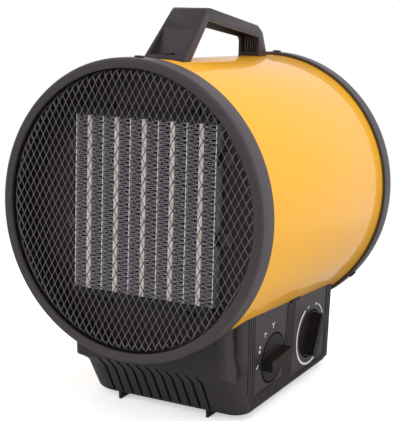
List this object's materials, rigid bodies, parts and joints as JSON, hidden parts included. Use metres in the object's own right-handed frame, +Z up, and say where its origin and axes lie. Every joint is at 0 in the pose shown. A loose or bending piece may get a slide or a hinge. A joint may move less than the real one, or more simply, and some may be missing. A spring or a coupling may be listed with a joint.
{
  "type": "forced air heater",
  "caption": "Portable electric heater: a tilted yellow sheet-metal drum with a black mesh front, carry handle and dials on a wedge-shaped base.",
  "frame": {"origin": "on the floor, midway between the ends of the tilted drum and on its centre line", "axes": "+Z up from the floor, -Y out of the front grille, +X towards the side with the dials"},
  "size_m": [0.24, 0.2724, 0.3301],
  "materials": {
    "drum_paint": "gloss powder coat",
    "black_moulding": "fine moulded grain",
    "base_moulding": "fine moulded grain",
    "knob_moulding": "satin moulding",
    "foot_moulding": "fine moulded grain",
    "black_screw": "black oxide",
    "grille_coat": "satin black coat",
    "plate_steel": "zinc plated",
    "ptc_ceramic": "insulated ceramic bar, tan wrap",
    "fin_aluminium": "bare, folded",
    "frame_plastic": "heat-resistant moulding",
    "brass_tab": "plain",
    "steel_screw": "zinc plated",
    "cutout_case": "moulded case",
    "motor_paint": "black enamel",
    "shaft_steel": "ground",
    "fan_aluminium": "pressed, bare",
    "foot_rubber": "plain",
    "gland_rubber": "plain",
    "block_plastic": "natural nylon",
    "control_plastic": "moulded phenolic",
    "bulb_copper": "plain copper"
  },
  "bodies": {
    "body": {"drum_shell": "drum_paint", "front_ring": "black_moulding", "rear_ring": "black_moulding", "front_ring_screws": "black_screw", "rear_ring_screws": "black_screw", "front_grille": "grille_coat", "rear_grille": "grille_coat", "handle": "black_moulding", "handle_screws": "black_screw", "heater_baffle": "plate_steel", "ptc_bars": "ptc_ceramic", "heater_fins": "fin_aluminium", "divider_strips": "fin_aluminium", "element_frames": "frame_plastic", "element_clips": "plate_steel", "heater_terminals": "brass_tab", "baffle_screws": "steel_screw", "thermal_cutout": "cutout_case", "motor_bracket": "plate_steel", "motor_body": "motor_paint", "base_body": "base_moulding", "base_plate": "base_moulding", "base_screws": "steel_screw", "front_feet": "foot_moulding", "rear_feet": "foot_rubber", "saddle_screws": "steel_screw", "cable_gland": "gland_rubber", "terminal_block": "block_plastic", "rotary_switch": "control_plastic", "switch_nut": "steel_screw", "thermostat": "control_plastic", "thermostat_nut": "steel_screw", "thermostat_bulb": "bulb_copper", "bulb_clips": "plate_steel"},
    "rotor": {"fan": "fan_aluminium", "motor_shaft": "shaft_steel", "fan_nut": "steel_screw"},
    "switch_dial": {"switch_knob": "knob_moulding", "switch_spindle": "shaft_steel"},
    "thermostat_dial": {"thermostat_knob": "knob_moulding", "thermostat_spindle": "shaft_steel"}
  },
  "joints": [
    {"name": "fan_spin", "type": "hinge", "parent": "body", "child": "rotor", "pos_m": [0, -0.12766, 0.179], "axis": [0, 0.9973, -0.0732], "continuous": true},
    {"name": "switch_turn", "type": "hinge", "parent": "body", "child": "switch_dial", "pos_m": [0.07841, -0.02806, 0.0426], "axis": [-0.9988, 0, 0.0499], "range_deg": [0, 90]},
    {"name": "thermostat_turn", "type": "hinge", "parent": "body", "child": "thermostat_dial", "pos_m": [0.07837, 0.04574, 0.0417], "axis": [-0.9988, 0, 0.0499], "range_deg": [0, 300]}
  ]
}
